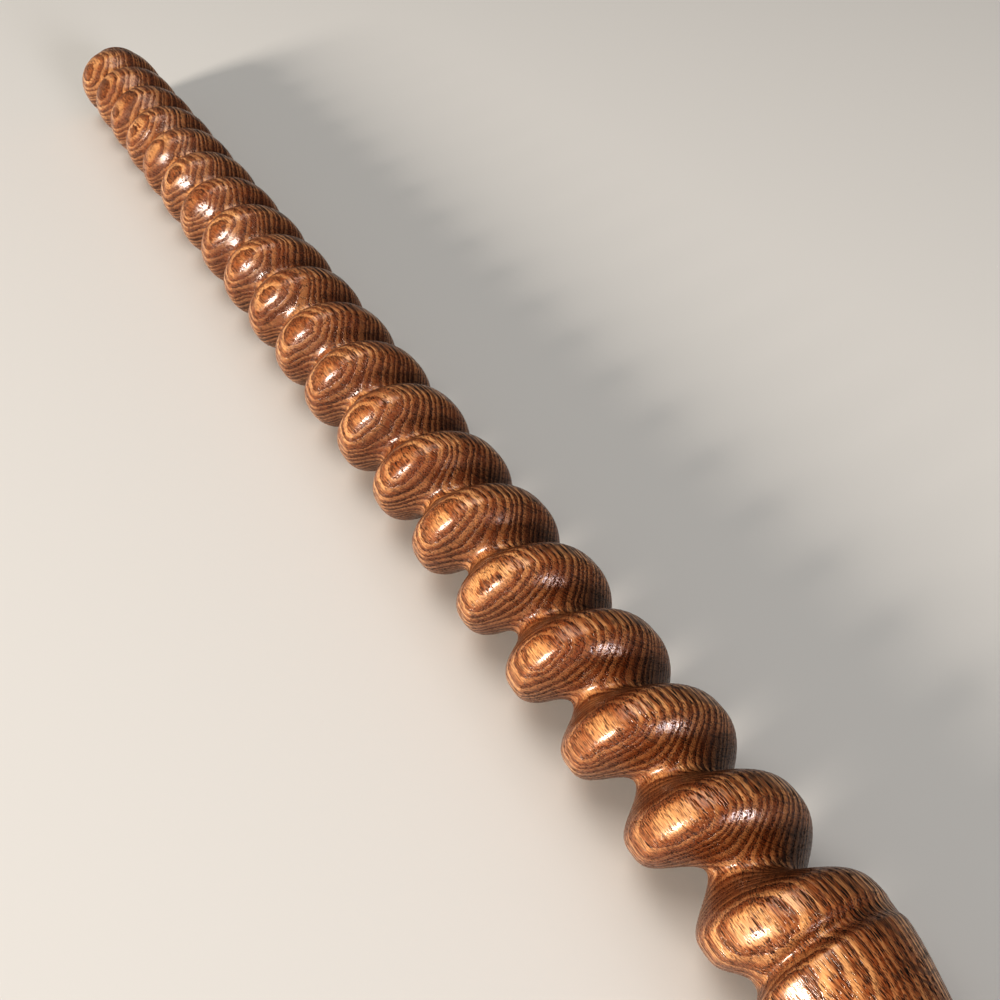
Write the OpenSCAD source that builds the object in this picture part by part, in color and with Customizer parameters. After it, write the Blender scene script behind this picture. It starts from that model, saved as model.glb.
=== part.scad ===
// A turned and carved oak wand. It lies along +X: the butt's flat face is at x = 0,
// the tip points to +X and +Z is up.

/* [Wand] */
// Length from the butt's flat face to the tip
wand_len = 355; // [300:1:400]
// Length from the butt's flat face to the first full turn of the spiral
handle_len = 110; // [100:1:130]

/* [Spiral] */
// Radius over the crests where the spiral starts
crest_r = 9; // [7:0.1:12]
// Radius over the crests at the tip
tip_crest_r = 8.4; // [6:0.1:10]
// Extra radius halfway along, over a straight taper
belly = 0.3; // [0:0.1:1]
// Length of one turn
pitch = 12.5; // [10:0.1:16]
// Angle of the crest, about the axis, where the spiral starts
crest_angle = -12; // [-180:1:180]
// Depth of the groove at the handle end
groove_depth = 5.4; // [2:0.1:6]
// Depth of the groove at the tip
tip_groove_depth = 1.6; // [0.5:0.1:3]
// How narrow the groove is beside the lobes: 1 gives both the same width
groove_narrow = 1.67; // [1:0.01:3]
// Length of the rounding at the tip
tip_round = 5.3; // [2:0.1:8]

/* [Shoulder] */
// Length of the shoulder, below the first full turn of the spiral
shoulder_len = 7; // [6:0.5:12]
// How far below the first full turn the groove has died out
runout_end = 9.3; // [6:0.1:12]
// Length over which the groove dies out
runout_len = 9; // [6:0.1:12]
// How narrow the groove is where it ends as a crease
crease_narrow = 8; // [1:0.5:10]
// Length over which the crease widens into the groove
crease_len = 3; // [1:0.5:8]
// How far below the first full turn the groove bends round towards a ring
bend_dist = 5.3; // [3:0.1:6]
// Length of one turn of the groove past that bend
bend_lead = 5.5; // [4:0.1:12]
// Length of the cove from the shoulder to its waist
cove_len = 16.5; // [10:0.5:18]
// Radius of the waist in the cove
waist_r = 5.7; // [4.6:0.1:7]
// Length of the flare from the waist to the collar
flare_len = 5.5; // [4:0.5:9]
// Radius where the shaft meets the collar
shaft_end_r = 7.2; // [6:0.1:8]

/* [Handle] */
// Width of the collar ring
collar_len = 4; // [3:0.5:8]
// How far the collar's half-round bead stands out
collar_bead = 1.4; // [0.5:0.1:3]
// Radius of the grip where it meets the collar
grip_top_r = 7.6; // [6.5:0.1:9]
// Radius of the grip where it meets the pommel
grip_bottom_r = 8.2; // [6.5:0.1:10]
// How far the grip swells out halfway
grip_swell = 2.4; // [0:0.1:5]
// Length of the pommel, from the butt's flat face to the grip
pommel_len = 14; // [12:0.5:20]
// Length of the pommel's plain ring beside the grip
fillet_len = 2; // [1:0.5:4]
// Radius of that plain ring
fillet_r = 7.6; // [6.5:0.1:9]
// Largest radius of the pommel's knob
knob_r = 10.4; // [8:0.1:13]
// Radius of the flat face at the butt
butt_r = 6; // [4:0.1:7]

/* [Joinery] */
// Radius of the hole drilled through the grip
bore_r = 4; // [3:0.1:4.4]
// Depth of the shaft's tenon in the grip
tenon_depth = 20; // [12:1:26]
// Depth of the pommel's spigot in the grip
spigot_depth = 12; // [8:1:16]

/* [Hidden] */

// Stations along the wand, from the butt
collar_x1 = handle_len - shoulder_len - cove_len - flare_len;
collar_x0 = collar_x1 - collar_len;
tenon_x = collar_x0 - tenon_depth;
spigot_x = pommel_len + spigot_depth;
spiral_len = wand_len - handle_len;

// Resolution of the carved shaft: rings per turn, sides, and rings on the plain parts
turn_rings = 11;
sides = 24;
ring_step = pitch / turn_rings;
flare_rings = 4;
tip_rings = 5;
// Points on each turned curve
curve_steps = 24;

// Straight line and cosine blend from a to b as t runs from 0 to 1
function mix(a, b, t) = a + (b - a) * t;
function blend(a, b, t) = mix(a, b, 0.5 - 0.5 * cos(180 * t));
function clamp01(t) = min(1, max(0, t));

// Below, s is the distance from the start of the full spiral, positive towards the tip.
// Turns of the groove up to s, which are shorter below the bend
function turns(s) =
    s < -bend_dist
        ? -bend_dist / pitch + (s + bend_dist) / bend_lead
        : s / pitch;

// Radius of the turned blank before the groove is cut
function blank_r(s) =
    s > 0
        ? mix(crest_r, tip_crest_r, s / spiral_len) + 4 * belly * s / spiral_len * (1 - s / spiral_len)
        : s > -shoulder_len
            ? crest_r
            : s > -shoulder_len - cove_len
                ? blend(crest_r, waist_r, (-shoulder_len - s) / cove_len)
                : blend(waist_r, shaft_end_r, (-shoulder_len - cove_len - s) / flare_len);

// Depth of the groove, which fades out over the shoulder
function depth(s) =
    mix(groove_depth, tip_groove_depth, clamp01(s / spiral_len))
    * blend(0, 1, clamp01((s + runout_end) / runout_len));

// Share of the groove's depth at angle a, for a left-handed spiral that starts as a crease
function groove(s, a) =
    pow(
        0.5 - 0.5 * cos(360 * turns(s) + a - crest_angle),
        blend(crease_narrow, groove_narrow, clamp01((s + runout_end) / crease_len))
    );

// Rounding that closes the tip
function tip_cap(s) = sqrt(1 - pow(clamp01((s - spiral_len + tip_round) / tip_round), 2));

function carved_r(s, a) = (blank_r(s) - depth(s) * groove(s, a)) * tip_cap(s);

// Distances of the rings, from the collar to the tip
stations = [
    for (i = [0 : flare_rings - 1]) -handle_len + collar_x1 + flare_len * i / flare_rings,
    for (s = [-shoulder_len - cove_len : ring_step : spiral_len - tip_round - ring_step / 2]) s,
    for (i = [0 : tip_rings - 1]) spiral_len - tip_round * (1 - sin(90 * i / tip_rings))
];

// Angles of a ring's points: the flats between them face straight down and sideways
angles = [for (j = [0 : sides - 1]) 360 * (j + 0.5) / sides];
function ring(x, radii) = [
    for (j = [0 : sides - 1]) [x, radii[j] * cos(angles[j]), radii[j] * sin(angles[j])]
];

// Rings of the tenon, then of the carved shaft
tenon_radii = [for (a = angles) bore_r];
rings = concat(
    [ring(tenon_x, tenon_radii), ring(collar_x1, tenon_radii)],
    [for (s = stations) ring(handle_len + s, [for (a = angles) carved_r(s, a)])]
);

// The carved shaft with its turned tenon, one piece of oak
module shaft() {
    points = concat([for (r = rings) each r], [[tenon_x, 0, 0], [wand_len, 0, 0]]);
    last = len(rings) - 1;
    butt_point = len(points) - 2;
    tip_point = len(points) - 1;
    function at(i, j) = i * sides + j % sides;
    faces = concat(
        [for (j = [0 : sides - 1]) [butt_point, at(0, j), at(0, j + 1)]],
        [for (i = [0 : last - 1], j = [0 : sides - 1]) [at(i, j), at(i + 1, j), at(i + 1, j + 1)]],
        [for (i = [0 : last - 1], j = [0 : sides - 1]) [at(i, j), at(i + 1, j + 1), at(i, j + 1)]],
        [for (j = [0 : sides - 1]) [tip_point, at(last, j + 1), at(last, j)]]
    );
    color("peru") polyhedron(points, faces);
}

// Turns an outline of [radius, station] points about the wand's axis
module turned(outline) {
    rotate([0, 90, 0]) rotate_extrude($fn = 96) polygon(outline);
}

// A ring of dark wood that covers the glue line between shaft and grip
module collar() {
    bead = [
        for (i = [0 : curve_steps])
            let (a = 180 * i / curve_steps)
            [shaft_end_r + collar_bead * sin(a), mix(collar_x0, collar_x1, 0.5 - 0.5 * cos(a))]
    ];
    color("saddlebrown") turned(concat([[bore_r, collar_x0]], bead, [[bore_r, collar_x1]]));
}

// The part that the hand holds, drilled right through
module grip() {
    swell = [
        for (i = [0 : curve_steps])
            let (t = i / curve_steps)
            [mix(grip_bottom_r, grip_top_r, t) + grip_swell * sin(180 * t), mix(pommel_len, collar_x0, t)]
    ];
    color("peru") turned(concat([[bore_r, pommel_len]], swell, [[bore_r, collar_x0]]));
}

// A brass rod that brings the balance point back towards the hand
module balance_rod() {
    color("goldenrod")
        translate([spigot_x, 0, 0])
            rotate([0, 90, 0])
                cylinder(h = tenon_x - spigot_x, r = bore_r, $fn = 96);
}

// A turned knob whose spigot closes the hole in the grip
module pommel() {
    knob_len = pommel_len - fillet_len;
    // Angles of the knob's oval at the flat face and at the plain ring
    a0 = -acos(butt_r / knob_r);
    a1 = acos(fillet_r / knob_r);
    scale_x = knob_len / (sin(a1) - sin(a0));
    knob = [
        for (i = [0 : curve_steps])
            let (a = mix(a0, a1, i / curve_steps))
            [knob_r * cos(a), scale_x * (sin(a) - sin(a0))]
    ];
    color("peru")
        turned(concat(
            [[0, 0]],
            knob,
            [[fillet_r, pommel_len], [bore_r, pommel_len], [bore_r, spigot_x], [0, spigot_x]]
        ));
}

shaft();
collar();
grip();
balance_rod();
pommel();
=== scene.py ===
# %% [markdown]
# # A wand carved from oak
# The real wand is oak, turned between centres to a slim taper and then carved by hand: one
# left-handed spiral groove winds from the tip to the handle and dies out on a plain shoulder.
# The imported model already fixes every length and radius, so this lesson loads it first. It then
# makes finer meshes around the same sizes and gives each one the finish of its real material.

# %% Load the measured model
import math

import bmesh
import bpy
from mathutils import Euler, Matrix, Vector, noise


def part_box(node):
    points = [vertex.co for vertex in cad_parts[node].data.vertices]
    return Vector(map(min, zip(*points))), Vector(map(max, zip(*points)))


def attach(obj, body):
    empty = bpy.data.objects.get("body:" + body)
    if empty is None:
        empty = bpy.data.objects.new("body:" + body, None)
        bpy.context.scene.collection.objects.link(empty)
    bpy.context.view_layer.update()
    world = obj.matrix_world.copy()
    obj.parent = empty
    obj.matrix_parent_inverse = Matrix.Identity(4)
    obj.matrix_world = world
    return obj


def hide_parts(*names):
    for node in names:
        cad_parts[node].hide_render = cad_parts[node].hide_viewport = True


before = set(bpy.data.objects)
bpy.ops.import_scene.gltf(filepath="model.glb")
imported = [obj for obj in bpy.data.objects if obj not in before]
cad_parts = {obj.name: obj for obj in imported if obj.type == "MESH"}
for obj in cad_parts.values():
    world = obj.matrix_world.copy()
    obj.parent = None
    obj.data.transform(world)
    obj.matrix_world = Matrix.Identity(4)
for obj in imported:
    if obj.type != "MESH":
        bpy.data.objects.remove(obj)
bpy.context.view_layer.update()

print("nodes:", sorted(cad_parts))

# %% [markdown]
# ## The sizes that everything is worked out from
# Where a piece starts and ends comes from the model, so a change of length there carries over.
# A box can't tell the depth of a groove or the pitch of a spiral, so the carver's numbers are
# stated here, in millimetres, the way a maker would write them on the drawing.

# %% Stations and carving dimensions
mm = 0.001


def station(node, end):
    """The x, in mm, where a node starts (end 0) or ends (end 1)."""
    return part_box(node)[end][0] / mm


TIP = station("shaft", 1)
TENON = station("shaft", 0)
COLLAR = (station("collar", 0), station("collar", 1))
GRIP = (station("grip", 0), station("grip", 1))
ROD = (station("balance_rod", 0), station("balance_rod", 1))
SPIGOT = station("pommel", 1)
BORE_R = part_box("balance_rod")[1][2] / mm

PITCH = 12.5
CREST_R, TIP_CREST_R, BELLY = 9.0, 8.4, 0.3
GROOVE, TIP_GROOVE, NARROW = 5.4, 1.6, 1.67
CREST_ANGLE = math.radians(-12)
TIP_ROUND = 5.3
SHOULDER, COVE, FLARE = 7.0, 16.5, 5.5
WAIST_R, SHAFT_END_R = 5.7, 7.2
RUNOUT_END, RUNOUT = 9.3, 9.0
CREASE_NARROW, CREASE_LEN = 8.0, 3.0
BEND, BEND_LEAD = 5.3, 5.5

START = COLLAR[1] + FLARE + COVE + SHOULDER
SPIRAL = TIP - START
print(f"spiral of {SPIRAL:.0f} mm, {SPIRAL / PITCH:.1f} turns, from x = {START:.0f} mm")

# %% [markdown]
# ## Where the viewer stands
# The wand is looked at from just above its handle, so the near lobes are large and the far tip
# is small. A moderately wide lens gives that strong perspective. The camera comes before the
# lights, because highlights on a varnished surface depend on where the eye is. The picture gets
# a strong contrast, because dark varnished wood looks flat without it.

# %% Camera
scene = bpy.context.scene
scene.view_settings.view_transform = "Standard"
scene.view_settings.look = "Very High Contrast"
EYE = Vector((START - 26.2, 48.0, 102.6)) * mm
YAW, PITCH_DOWN = math.radians(-30.54), math.radians(44.19)
LENS = 37.26

lens = bpy.data.cameras.new("viewer")
lens.lens, lens.sensor_width = LENS, 36
lens.clip_start, lens.clip_end = 0.005, 20
viewer = bpy.data.objects.new("viewer", lens)
viewer.location = EYE
viewer.rotation_euler = Euler((math.pi / 2 - PITCH_DOWN, 0, YAW - math.pi / 2))
scene.collection.objects.link(viewer)
scene.camera = viewer
print("camera", round(EYE.x, 4), round(EYE.y, 4), round(EYE.z, 4))

# %% [markdown]
# ## One way to add a shader node
# A procedural material is a chain of nodes. One small function adds a node, sets its fields and
# links its inputs, so that each line of a material reads as one step of the recipe. The settings
# that come up again and again are named once. Colours are written as the hex values a painter
# would pick on screen, and turned to linear light once.

# %% Node and colour helpers
TIMES = {"operation": "MULTIPLY"}
TIMES_PLUS = {"operation": "MULTIPLY_ADD"}
SOFT_STEP = {"interpolation_type": "SMOOTHSTEP"}
COLOURS = {"data_type": "RGBA"}


def linear(hex_colour):
    """An sRGB hex colour as linear light, with alpha 1."""
    parts = [int(hex_colour[i:i + 2], 16) / 255 for i in (1, 3, 5)]
    return [c / 12.92 if c <= 0.04045 else ((c + 0.055) / 1.055) ** 2.4 for c in parts] + [1.0]


def fill(tree, node, *values, **named):
    """Fills a node's inputs, in order and by name.

    A value is a number, a socket, or another node, which stands for its first output in use.
    """
    in_use = [socket for socket in node.inputs if socket.enabled]
    by_name = [(node.inputs[name.replace("_", " ")], value) for name, value in named.items()]
    for socket, value in list(zip(in_use, values)) + by_name:
        if isinstance(value, bpy.types.Node):
            value = next(output for output in value.outputs if output.enabled)
        if isinstance(value, bpy.types.NodeSocket):
            tree.links.new(value, socket)
        else:
            socket.default_value = value


def add(tree, kind, *values, **named):
    """Adds one node. Names in lower case are its settings, and all the rest fill its inputs."""
    node = tree.nodes.new("ShaderNode" + kind)
    for name in [n for n in named if n.islower()]:
        setattr(node, name, named.pop(name))
    fill(tree, node, *values, **named)
    return node


def start_material(name):
    """A new material, its node tree and its shader."""
    material = bpy.data.materials.new(name)
    material.use_nodes = True
    return material, material.node_tree, material.node_tree.nodes["Principled BSDF"]


print("oak brown in linear light:", [round(c, 3) for c in linear("#854a22")])

# %% [markdown]
# ## A table to lie on
# A wand is thicker at the grip than at the tip, so on a level table its axis slopes a little.
# The model keeps the axis level, so here the table slopes instead: it touches the grip's
# thickest ring and the shaft near its tip. The table is scenery.

# %% Pale table
TABLE_SIZE = 12.0
TOUCH_BACK, TOUCH_R = 10.0, TIP_CREST_R + 0.1
GRIP_REST = Vector((sum(GRIP) / 2, 0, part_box("grip")[0][2] / mm))
TIP_REST = Vector((TIP - TOUCH_BACK, 0, -TOUCH_R))
slope = math.atan2(TIP_REST.z - GRIP_REST.z, TIP_REST.x - GRIP_REST.x)

bm = bmesh.new()
bmesh.ops.create_grid(bm, x_segments=1, y_segments=1, size=TABLE_SIZE)
floor_mesh = bpy.data.meshes.new("table")
bm.to_mesh(floor_mesh)
bm.free()
table = bpy.data.objects.new("table", floor_mesh)
table.rotation_euler = (0, -slope, 0)
table.location = GRIP_REST * mm
scene.collection.objects.link(table)
paper, paper_tree, paper_skin = start_material("pale_paper")
fill(paper_tree, paper_skin, Base_Color=linear("#cfcbc4"), Roughness=0.8)
floor_mesh.materials.append(paper)
print(f"table slopes {math.degrees(slope):.2f} degrees")

# %% [markdown]
# ## Soft studio light
# Carving shows best when most of the light comes from one side. The key is a soft box low on the
# left, which draws one bright patch on each lobe. A wide one hangs overhead and puts a pale sheen
# along the crests, and a third stands low beyond the butt, where it edges the lobes. A dim grey
# surround fills the shadows, so that the grooves stay readable.

# %% Lights
AIM = Vector((START + 65, 0, 0)) * mm


def soft_box(name, azimuth, elevation, distance, size, watts, tint):
    """A square area light that looks at the middle of the spiral."""
    lamp = bpy.data.lights.new(name, "AREA")
    lamp.shape, lamp.size = "SQUARE", size
    lamp.energy, lamp.color = watts, linear(tint)[:3]
    box = bpy.data.objects.new(name, lamp)
    a, e = math.radians(azimuth), math.radians(elevation)
    away = Vector((math.cos(a) * math.cos(e), math.sin(a) * math.cos(e), math.sin(e)))
    box.location = AIM + away * distance
    box.rotation_euler = away.to_track_quat("Z", "Y").to_euler()
    scene.collection.objects.link(box)


soft_box("key", azimuth=98, elevation=17, distance=1.1, size=0.24, watts=11.0, tint="#fff8f2")
soft_box("overhead", azimuth=40, elevation=70, distance=1.3, size=0.8, watts=4.9, tint="#ffffff")
soft_box("edge", azimuth=182, elevation=14, distance=1.3, size=0.28, watts=7.8, tint="#f4f6ff")

world = bpy.data.worlds.new("studio")
world.use_nodes = True
surround = world.node_tree.nodes["Background"]
fill(world.node_tree, surround, Color=linear("#e8ebf0"), Strength=0.18)
scene.world = world

# %% [markdown]
# ## Oak, from the tree outwards
# Oak is ring-porous. Each year it lays down a band of wide open tubes in spring and then dense,
# smooth wood in summer. Cut along the trunk, the rings show as lines where they meet the surface
# edge-on and as ovals where they lie flat to it, and the cut tubes show as short dark dashes.
# A picture can't do that on a carved shape, but a solid pattern can: colour is worked out at
# each point inside the blank, so every lobe cuts through the same rings. The pattern's frame is
# the grain's: x runs along the trunk, z points out through the rings, all in millimetres.

# %% The grain's frame
# The shift puts pale summer wood on the near crests, and the rings lean a little to the axis
RING_SHIFT_MM = 0.35
RING_LEAN = math.radians(4)
CLIMB_START, CLIMB_MM, CLIMB = START + 5, 220, 0.2


def grain_frame(tree, facing):
    """The place in the wood, in mm. z points out through the rings, facing degrees up from +Y."""
    to_rings = (math.pi / 2 - math.radians(facing), RING_LEAN, 0)
    turned = add(tree, "Mapping", add(tree, "TexCoord").outputs["Object"],
                 Location=(0, 0, RING_SHIFT_MM), Rotation=to_rings, Scale=(1 / mm, 1 / mm, 1 / mm))

    # The grain is straight at both ends and climbs outwards between them
    axes = add(tree, "SeparateXYZ", turned).outputs
    along = add(tree, "Math", axes["X"], CLIMB_START, operation="SUBTRACT")
    phase = add(tree, "Math", along, 2 * math.pi / CLIMB_MM, **TIMES)
    swing = add(tree, "Math", phase, operation="SINE")
    climb = add(tree, "Math", swing, -CLIMB_MM / (2 * math.pi), along, **TIMES_PLUS)
    level = add(tree, "Math", climb, -CLIMB / 2, axes["Z"], **TIMES_PLUS)
    return add(tree, "CombineXYZ", axes["X"], axes["Y"], level)


def streaks(tree, place, along, across, out, detail):
    """Noise drawn out with the grain, in blotches of along by across by out mm."""
    scaled = add(tree, "Mapping", place, Scale=(1 / along, 1 / across, 1 / out))
    return add(tree, "TexNoise", scaled, Scale=1.0, Detail=detail)


print(f"the grain climbs at up to {math.degrees(math.atan(CLIMB)):.0f} degrees")

# %% [markdown]
# ## A year's growth
# Rings are wide arcs about the heart of the tree. Weather and the trunk's own bends make them a
# little wavy and of uneven width. Counting them gives two numbers at each point: how far it is
# through its year, and a chance value for that year, because some years leave a fainter line.

# %% Rings and pores
RING_MM, HEART_MM = 0.8, 80.0
# The widest pores, and the radius of a pore within its cell of the pattern
PORE_MM, PORE_LONG_MM, PORE_IN_CELL = 0.23, 1.9, 0.46


def rings(tree, place):
    """How far a point is through its year, from 0 to 1, and a chance value for the year."""
    sway = streaks(tree, place, 40, 9, 9, detail=2.0)
    shiver = streaks(tree, place, 4, 0.5, 0.5, detail=3.0)
    axes = add(tree, "SeparateXYZ", place).outputs
    sideways_squared = add(tree, "Math", axes["Y"], axes["Y"], **TIMES)
    arc = add(tree, "Math", sideways_squared, 0.5 / HEART_MM, **TIMES)
    out = add(tree, "Math", axes["Z"], arc, operation="ADD")
    out = add(tree, "Math", sway, 2.2, out, **TIMES_PLUS)
    out = add(tree, "Math", shiver, 0.4, out, **TIMES_PLUS)

    slow = add(tree, "Math", out, 0.45, **TIMES)
    uneven = add(tree, "TexNoise", slow, Scale=1.0, noise_dimensions="1D")
    even_count = add(tree, "Math", out, RING_MM, operation="DIVIDE")
    count = add(tree, "Math", uneven, 2.0, even_count, **TIMES_PLUS)
    year = add(tree, "Math", count, operation="FRACT")
    whole = add(tree, "Math", count, operation="FLOOR")
    return year, add(tree, "TexWhiteNoise", whole, noise_dimensions="1D")


def pores(tree, place, size, row, rare, common):
    """Open tubes: dark dashes, crowded in the spring wood and rare in the summer wood."""
    across, along = size * PORE_MM, size * PORE_LONG_MM
    scaled = add(tree, "Mapping", place, Scale=(1 / along, 1 / across, 1 / across))
    cells = add(tree, "TexVoronoi", scaled, Scale=1.0, feature="F1")
    tube = add(tree, "MapRange", cells, PORE_IN_CELL, 0.55 * PORE_IN_CELL, **SOFT_STEP)
    pick = add(tree, "SeparateColor", cells.outputs["Color"])
    share = add(tree, "MapRange", row, 0.0, 1.0, rare, common, **SOFT_STEP)
    kept = add(tree, "Math", pick, share, operation="LESS_THAN")
    return add(tree, "Math", tube, kept, **TIMES)


print(f"rings every {RING_MM} mm, pores up to {PORE_MM} mm wide and {PORE_LONG_MM} mm long")

# %% [markdown]
# ## How the cut changes the look
# The same ring looks different on each side of a lobe. Cut across the grain, wood drinks more
# oil, and turns darker and redder. Where a ring lies flat to the surface, its pores are spread
# out, so only its sharp edge looks dark. The surface's normal tells which cut a point has.

# %% Cut of the surface
FLAT_FROM, FLAT_TO = 0.3, 0.85


def cut_angles(tree, facing):
    """How far the surface cuts across the grain, and how flat the rings lie to it, from 0 to 1."""
    normal = add(tree, "TexCoord").outputs["Normal"]
    endwise = add(tree, "SeparateXYZ", normal).outputs["X"]
    endwise = add(tree, "Math", endwise, operation="ABSOLUTE")
    across_grain = add(tree, "MapRange", endwise, 0.12, 0.7, **SOFT_STEP)
    outwards = (0, math.cos(math.radians(facing)), math.sin(math.radians(facing)))
    flatness = add(tree, "VectorMath", normal, outwards, operation="DOT_PRODUCT")
    flatness = add(tree, "Math", flatness, operation="ABSOLUTE")
    return across_grain, add(tree, "MapRange", flatness, FLAT_FROM, FLAT_TO, **SOFT_STEP)


print(f"a ring is flat within {math.degrees(math.acos(FLAT_TO)):.0f} degrees of the surface")

# %% [markdown]
# ## The oiled oak
# The colours go on in the order that a finisher meets them: the pale and mid-brown wood, the
# oil that end grain drinks, the dark lines of the rings, the rays, the grit between the fibres,
# and the pores last. The varnish is a clear coat with a soft, bright shine, but it sinks into
# the open pores and leaves them matt, which breaks each highlight up along the grain.

# %% Oak material
def oak(name, facing, pale, mid, end, ring_dark, pore_dark):
    """Oiled and varnished oak with its rings, pores, fibres and rays."""
    pale, mid, end = linear(pale), linear(mid), linear(end)
    ring_dark, pore_dark = linear(ring_dark), linear(pore_dark)
    material, tree, skin = start_material(name)
    place = grain_frame(tree, facing)
    year, luck = rings(tree, place)
    across_grain, flat_cut = cut_angles(tree, facing)

    # The year starts with a sharp row of the widest pores, which fades into summer wood
    onset = add(tree, "MapRange", year, 0.0, 0.06, **SOFT_STEP)
    fade = add(tree, "MapRange", year, 0.2, 0.66, 1.0, 0.0, **SOFT_STEP)
    quick_fade = add(tree, "MapRange", year, 0.1, 0.34, 1.0, 0.0, **SOFT_STEP)
    row = add(tree, "Math", onset, fade, **TIMES)
    thin_row = add(tree, "Math", onset, quick_fade, **TIMES)
    summer = add(tree, "MapRange", year, 0.45, 0.8, **SOFT_STEP)
    big = pores(tree, place, 1.0, row, rare=0.12, common=0.9)
    fine = pores(tree, place, 0.6, row, rare=0.4, common=0.7)

    # Fibres, rays, and the grit that oil picks out between the fibres
    fibre = streaks(tree, place, 3.5, 0.14, 0.14, detail=3.0)
    grit = streaks(tree, place, 1.1, 0.1, 0.1, detail=2.0)
    ray = streaks(tree, place, 2.6, 0.14, 3.0, detail=1.0)
    cloud = streaks(tree, place, 22, 5, 3, detail=2.0)

    # The wood between the lines: pale in summer wood and along the fibres, browner in clouds
    fibre_light = add(tree, "MapRange", fibre, 0.3, 0.7, 0.0, 0.45, **SOFT_STEP)
    light = add(tree, "Math", summer, 0.55, fibre_light, **TIMES_PLUS)
    wood = add(tree, "Mix", light, mid, pale, **COLOURS)
    browner = add(tree, "MapRange", cloud, 0.45, 0.7, 0.0, 0.5, **SOFT_STEP)
    wood = add(tree, "Mix", browner, wood, mid, **COLOURS)
    drunk = add(tree, "Math", across_grain, 0.5, **TIMES)
    wood = add(tree, "Mix", drunk, wood, end, **COLOURS)

    # The ring lines: broad where cut edge-on, thin where flat, and weaker in some years
    edge_on = add(tree, "Math", 1.0, flat_cut, operation="SUBTRACT")
    broad = add(tree, "Math", row, edge_on, **TIMES)
    tint = add(tree, "Math", thin_row, flat_cut, broad, **TIMES_PLUS)
    for cause, low, high, to_low, to_high in (
            (luck, 0.0, 1.0, 0.5, 1.0), (cloud, 0.4, 0.62, 1.0, 0.5),
            (across_grain, 0.0, 1.0, 1.0, 0.85), (flat_cut, 0.0, 1.0, 1.0, 0.6),
            (grit, 0.38, 0.6, 0.35, 1.0)):
        share = add(tree, "MapRange", cause, low, high, to_low, to_high, **SOFT_STEP)
        tint = add(tree, "Math", tint, share, **TIMES)
    wood = add(tree, "Mix", tint, wood, ring_dark, **COLOURS)

    # Rays, grit and fine pores, then the widest pores, which hold the most oil and dust
    for mark, low, high, strength in ((ray, 0.56, 0.66, 0.45), (grit, 0.5, 0.66, 0.55)):
        share = add(tree, "MapRange", mark, low, high, 0.0, strength, **SOFT_STEP)
        wood = add(tree, "Mix", share, wood, ring_dark, **COLOURS)
    wood = add(tree, "Mix", add(tree, "Math", fine, 0.7, **TIMES), wood, ring_dark, **COLOURS)
    shown = big
    for cause, strong, weak in ((across_grain, 0.97, 0.6), (flat_cut, 1.0, 0.55)):
        share = add(tree, "MapRange", cause, 0.0, 1.0, strong, weak, **SOFT_STEP)
        shown = add(tree, "Math", shown, share, **TIMES)
    wood = add(tree, "Mix", shown, wood, pore_dark, **COLOURS)

    # Pores, ring lines and grit lie a little lower than the wood around them
    dip = add(tree, "Math", row, -0.4, **TIMES)
    for mark, depth in ((big, -1.0), (fine, -0.5), (grit, -0.35)):
        dip = add(tree, "Math", mark, depth, dip, **TIMES_PLUS)
    bump = add(tree, "Bump", Height=dip, Strength=0.5, Distance=0.1 * mm)

    matt = add(tree, "MapRange", big, 0.0, 1.0, 0.45, 0.75, **SOFT_STEP)
    varnish = add(tree, "MapRange", big, 0.0, 1.0, 0.85, 0.1, **SOFT_STEP)
    fill(tree, skin, Base_Color=wood, Roughness=matt, Normal=bump, IOR=1.5, Specular_IOR_Level=0.3,
         Coat_Weight=varnish, Coat_Roughness=0.19, Coat_Normal=bump)
    return material


OAK_COLOURS = ("#d2a373", "#854a22", "#5c2b12", "#200c05", "#0c0402")
shaft_oak = oak("oiled_oak", 40, *OAK_COLOURS)
print("oak nodes:", len(shaft_oak.node_tree.nodes))

# %% [markdown]
# ## A lathe
# Every piece of the wand starts between centres, so the first tool is a lathe: an outline of
# stations and radii is spun once about the axis. Points on the axis close the ends.

# %% Lathe helper
CORNER = math.radians(35)
WELD = 0.001 * mm


def smooth(t):
    """A cosine ease from 0 to 1."""
    return 0.5 - 0.5 * math.cos(math.pi * min(1.0, max(0.0, t)))


def between(a, b, t):
    """The value on the way from a to b, as t goes from 0 to 1."""
    return a + (b - a) * t


def lathe(outline, sides, hollow=False):
    """Spins (station, radius) points, in mm, about the wand's axis. A hollow outline is a loop."""
    blank = bmesh.new()
    points = [blank.verts.new((x * mm, 0, r * mm)) for x, r in outline]
    for pair in zip(points, points[1:] + points[:1] if hollow else points[1:]):
        blank.edges.new(pair)
    bmesh.ops.spin(blank, geom=blank.verts[:] + blank.edges[:], cent=(0, 0, 0), axis=(1, 0, 0),
                   angle=2 * math.pi, steps=sides, use_merge=True)
    bmesh.ops.remove_doubles(blank, verts=blank.verts, dist=WELD)
    bmesh.ops.recalc_face_normals(blank, faces=blank.faces)
    return blank


def ease_corners(blank, width):
    """Sands a small round, width mm wide, on every sharp outer corner."""
    corners = [e for e in blank.edges if e.is_manifold and e.calc_face_angle_signed() > CORNER]
    bmesh.ops.bevel(blank, geom=corners, offset=width * mm, offset_type="OFFSET", segments=3,
                    profile=0.5, affect="EDGES", clamp_overlap=True, material=-1)


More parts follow.
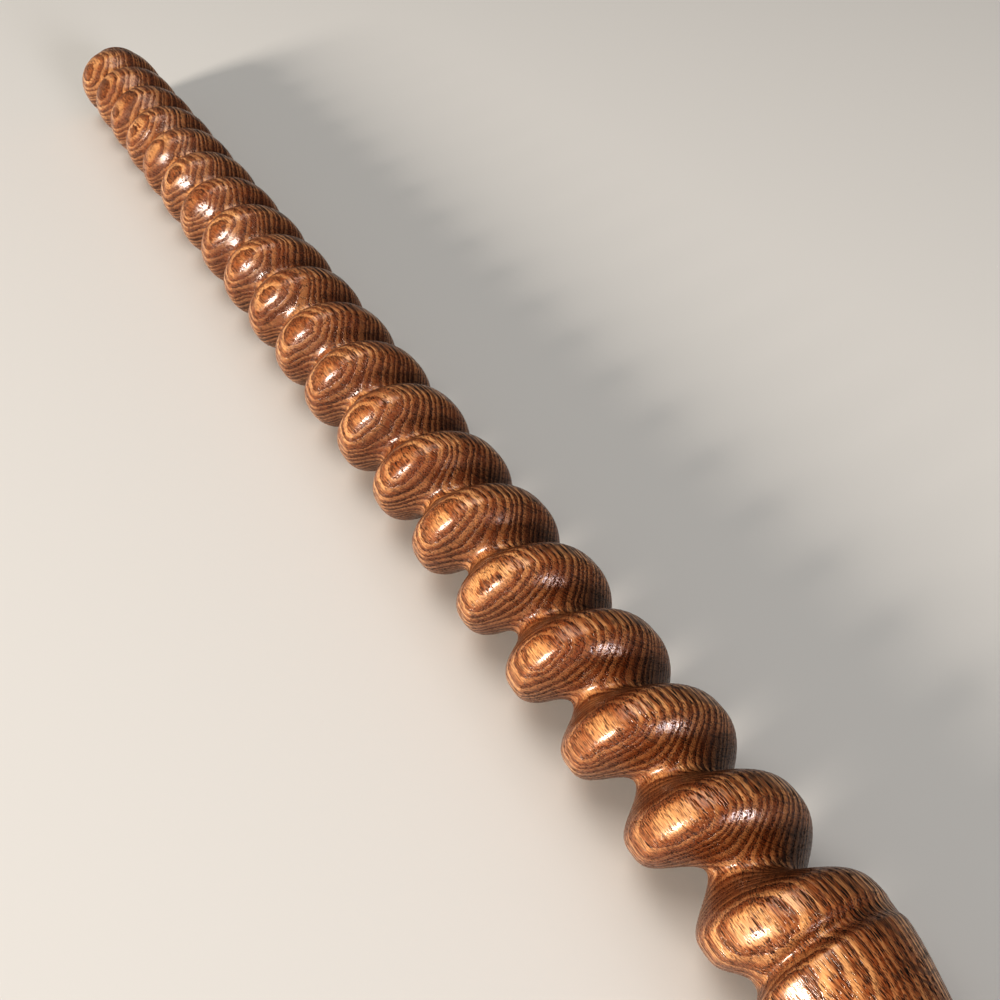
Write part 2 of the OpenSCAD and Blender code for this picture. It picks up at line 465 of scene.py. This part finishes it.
def finish_piece(name, blank, material, *nodes):
    """Makes the blank an object that rides on the wand and stands for its CAD node."""
    mesh = bpy.data.meshes.new(name)
    for face in blank.faces:
        face.smooth = True
    for edge in blank.edges:
        edge.smooth = not edge.is_manifold or abs(edge.calc_face_angle_signed()) < CORNER
    blank.to_mesh(mesh)
    blank.free()
    mesh.materials.append(material)
    piece = bpy.data.objects.new(name, mesh)
    scene.collection.objects.link(piece)
    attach(piece, "root")
    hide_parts(*nodes)
    print(f"{name}: {len(mesh.polygons)} faces")
    return piece


print(f"an edge sharper than {math.degrees(CORNER):.0f} degrees counts as a corner")

# %% [markdown]
# ## The carved shaft
# The blank is a long taper with a shoulder and a cove. The carver then follows a pencil line
# round it and sinks a groove. The same is done here: each point of the turned blank is moved in
# towards the axis by the groove's depth at that place. The groove is deep by the hand, shallow
# at the tip, and bends round into a ring-like crease where it dies out.

# %% Carve the spiral
RINGS_PER_TURN, SIDES = 26, 104
TIP_RINGS = 14
# A knife leaves each radius true to within this share, in waves of this length
UNEVEN, UNEVEN_MM = 0.006, 5


def blank_r(s):
    """The radius of the turned blank at s, in mm from the start of the full spiral."""
    if s > 0:
        t = s / SPIRAL
        return between(CREST_R, TIP_CREST_R, t) + 4 * BELLY * t * (1 - t)
    cove = between(CREST_R, WAIST_R, smooth((-SHOULDER - s) / COVE))
    return between(cove, SHAFT_END_R, smooth((-SHOULDER - COVE - s) / FLARE))


def tip_cap(s):
    """The share of the radius that is left at s, which rounds the tip off as a quarter circle."""
    t = min(1.0, max(0.0, (s - SPIRAL + TIP_ROUND) / TIP_ROUND))
    return math.sqrt(1 - t * t)


def groove_depth(s, angle):
    """How deep the groove is at s and at an angle about the axis."""
    turns = s / PITCH if s > -BEND else -BEND / PITCH + (s + BEND) / BEND_LEAD
    across = 0.5 - 0.5 * math.cos(2 * math.pi * turns + angle - CREST_ANGLE)
    deepest = between(GROOVE, TIP_GROOVE, min(1.0, max(0.0, s / SPIRAL)))
    cut = smooth((s + RUNOUT_END) / RUNOUT)
    narrow = between(CREASE_NARROW, NARROW, smooth((s + RUNOUT_END) / CREASE_LEN))
    return deepest * cut * across ** narrow


step = PITCH / RINGS_PER_TURN
low = -SHOULDER - COVE - FLARE
body = []
s = low
# Rings stand twice as close on the shoulder, where the groove narrows to a crease
while s < SPIRAL - TIP_ROUND - step / 2:
    body.append(s)
    s += step / 2 if s < 0 else step
cap = []
for i in range(TIP_RINGS + 1):
    cap.append(SPIRAL - TIP_ROUND * (1 - math.sin(math.pi / 2 * i / TIP_RINGS)))
outline = [(TENON, 0), (TENON, BORE_R), (COLLAR[1], BORE_R)]
outline += [(START + s, blank_r(s) * tip_cap(s)) for s in body + cap]

shaft = lathe(outline, SIDES)
for v in shaft.verts:
    s = v.co.x / mm - START
    if s > low and v.co.yz.length > 0:
        keep = 1 - groove_depth(s, math.atan2(v.co.z, v.co.y)) / blank_r(s)
        hand = 1 + UNEVEN * noise.noise(v.co / (UNEVEN_MM * mm))
        v.co.y *= keep * hand
        v.co.z *= keep * hand
carved = finish_piece("carved_shaft", shaft, shaft_oak, "shaft")

# %% [markdown]
# ## The grip
# The grip is turned from a second piece of the same oak and drilled from end to end, so it is a
# tube: its outline is a loop that the lathe spins. Its sides swell a little for the palm, and the
# turner breaks the corners at both ends with sandpaper.

# %% Turn the grip
grip_oak = oak("grip_oak", 68, *OAK_COLOURS)
GRIP_BOTTOM_R, GRIP_TOP_R, GRIP_SWELL = 8.2, 7.6, 2.4
GRIP_STEPS, GRIP_SIDES = 90, 128

swell = []
for i in range(GRIP_STEPS + 1):
    t = i / GRIP_STEPS
    palm_r = between(GRIP_BOTTOM_R, GRIP_TOP_R, t) + GRIP_SWELL * math.sin(math.pi * t)
    swell.append((between(GRIP[0], GRIP[1], t), palm_r))
grip = lathe([(GRIP[0], BORE_R)] + swell + [(GRIP[1], BORE_R)], GRIP_SIDES, hollow=True)
ease_corners(grip, 0.35)
turned_grip = finish_piece("turned_grip", grip, grip_oak, "grip")

# %% [markdown]
# ## The pommel
# The pommel is a knob between two flats: the butt face it stands on, and a plain ring beside the
# grip. Its outline is part of an oval. The spigot behind the ring closes the grip's bore.

# %% Turn the pommel
pommel_oak = oak("pommel_oak", 112, *OAK_COLOURS)
KNOB_R, BUTT_R, RING_R, RING_LEN = 10.4, 6.0, 7.6, 2.0
KNOB_STEPS, KNOB_SIDES = 48, 128

knob_start, knob_end = -math.acos(BUTT_R / KNOB_R), math.acos(RING_R / KNOB_R)
stretch = (GRIP[0] - RING_LEN) / (math.sin(knob_end) - math.sin(knob_start))
knob = []
for i in range(KNOB_STEPS + 1):
    a = between(knob_start, knob_end, i / KNOB_STEPS)
    knob.append((stretch * (math.sin(a) - math.sin(knob_start)), KNOB_R * math.cos(a)))
ring_and_spigot = [(GRIP[0], RING_R), (GRIP[0], BORE_R), (SPIGOT, BORE_R), (SPIGOT, 0)]
pommel = lathe([(0, 0)] + knob + ring_and_spigot, KNOB_SIDES)
ease_corners(pommel, 0.3)
turned_pommel = finish_piece("turned_pommel", pommel, pommel_oak, "pommel")

# %% [markdown]
# ## The collar
# A half-round ring of walnut covers the line where shaft and grip meet. Walnut's pores are finer
# and more even than oak's and its rings are soft, so it looks like dark, streaked chocolate. The
# same oil and varnish lie over it.

# %% Walnut and the collar
STREAK_MM, FLECK_MM = 1.6, 0.16


def walnut(name, brown, dark, pore_dark):
    """Oiled and varnished walnut: soft streaks and fine scattered pores."""
    material, tree, skin = start_material(name)
    place = grain_frame(tree, 25)
    streak = streaks(tree, place, 14, STREAK_MM, STREAK_MM, detail=3.0)
    scaled = add(tree, "Mapping", place, Scale=(1 / (10 * FLECK_MM), 1 / FLECK_MM, 1 / FLECK_MM))
    cells = add(tree, "TexVoronoi", scaled, Scale=1.0, feature="F1")
    fleck = add(tree, "MapRange", cells, 0.42, 0.2, **SOFT_STEP)
    darker = add(tree, "MapRange", streak, 0.35, 0.65, **SOFT_STEP)
    wood = add(tree, "Mix", darker, linear(brown), linear(dark), **COLOURS)
    fleck_share = add(tree, "Math", fleck, 0.6, **TIMES)
    wood = add(tree, "Mix", fleck_share, wood, linear(pore_dark), **COLOURS)
    dip = add(tree, "Math", fleck, -1.0, **TIMES)
    bump = add(tree, "Bump", Height=dip, Strength=0.4, Distance=0.05 * mm)
    matt = add(tree, "MapRange", streak, 0.3, 0.7, 0.42, 0.5, **SOFT_STEP)
    fill(tree, skin, Base_Color=wood, Roughness=matt, Normal=bump, Coat_Weight=0.75,
         Coat_Roughness=0.13)
    return material


COLLAR_BEAD = 1.4
BEAD_STEPS, BEAD_SIDES = 24, 128
bead = []
for i in range(BEAD_STEPS + 1):
    t = i / BEAD_STEPS
    bead_r = SHAFT_END_R + COLLAR_BEAD * math.sin(math.pi * t)
    bead.append((between(COLLAR[0], COLLAR[1], smooth(t)), bead_r))
collar = lathe([(COLLAR[0], BORE_R)] + bead + [(COLLAR[1], BORE_R)], BEAD_SIDES, hollow=True)
collar_walnut = walnut("oiled_walnut", "#5b3421", "#33190f", "#150905")
walnut_collar = finish_piece("walnut_collar", collar, collar_walnut, "collar")

# %% [markdown]
# ## The balance rod
# A brass rod fills the middle of the grip's bore and brings the balance point back to the hand.
# It is bought as drawn bar and cut with a saw, so it is bright, with fine scratches along its
# length where the die drew it, and its cut ends are chamfered so that it slides in.

# %% Brass and the rod
DRAW_LINE_MM = 0.12


def drawn_brass(name, bright, dull):
    """Drawn brass bar: fine lines along its length and a little tarnish."""
    material, tree, skin = start_material(name)
    place = grain_frame(tree, 90)
    line = streaks(tree, place, 9, DRAW_LINE_MM, DRAW_LINE_MM, detail=2.0)
    patch = streaks(tree, place, 6, 4, 4, detail=3.0)
    tarnish = add(tree, "MapRange", patch, 0.4, 0.7, **SOFT_STEP)
    metal = add(tree, "Mix", tarnish, linear(bright), linear(dull), **COLOURS)
    satin = add(tree, "MapRange", line, 0.3, 0.7, 0.22, 0.36, **SOFT_STEP)
    bump = add(tree, "Bump", Height=line, Strength=0.3, Distance=0.02 * mm)
    fill(tree, skin, Base_Color=metal, Roughness=satin, Normal=bump, Metallic=1.0)
    return material


ROD_CHAMFER, ROD_SIDES = 0.4, 96
rod_outline = [(ROD[0], 0), (ROD[0], BORE_R - ROD_CHAMFER), (ROD[0] + ROD_CHAMFER, BORE_R)]
rod_outline += [(ROD[1] - ROD_CHAMFER, BORE_R), (ROD[1], BORE_R - ROD_CHAMFER), (ROD[1], 0)]
rod = lathe(rod_outline, ROD_SIDES)
rod_brass = drawn_brass("drawn_brass", "#d8b060", "#a9803c")
brass_rod = finish_piece("brass_rod", rod, rod_brass, "balance_rod")
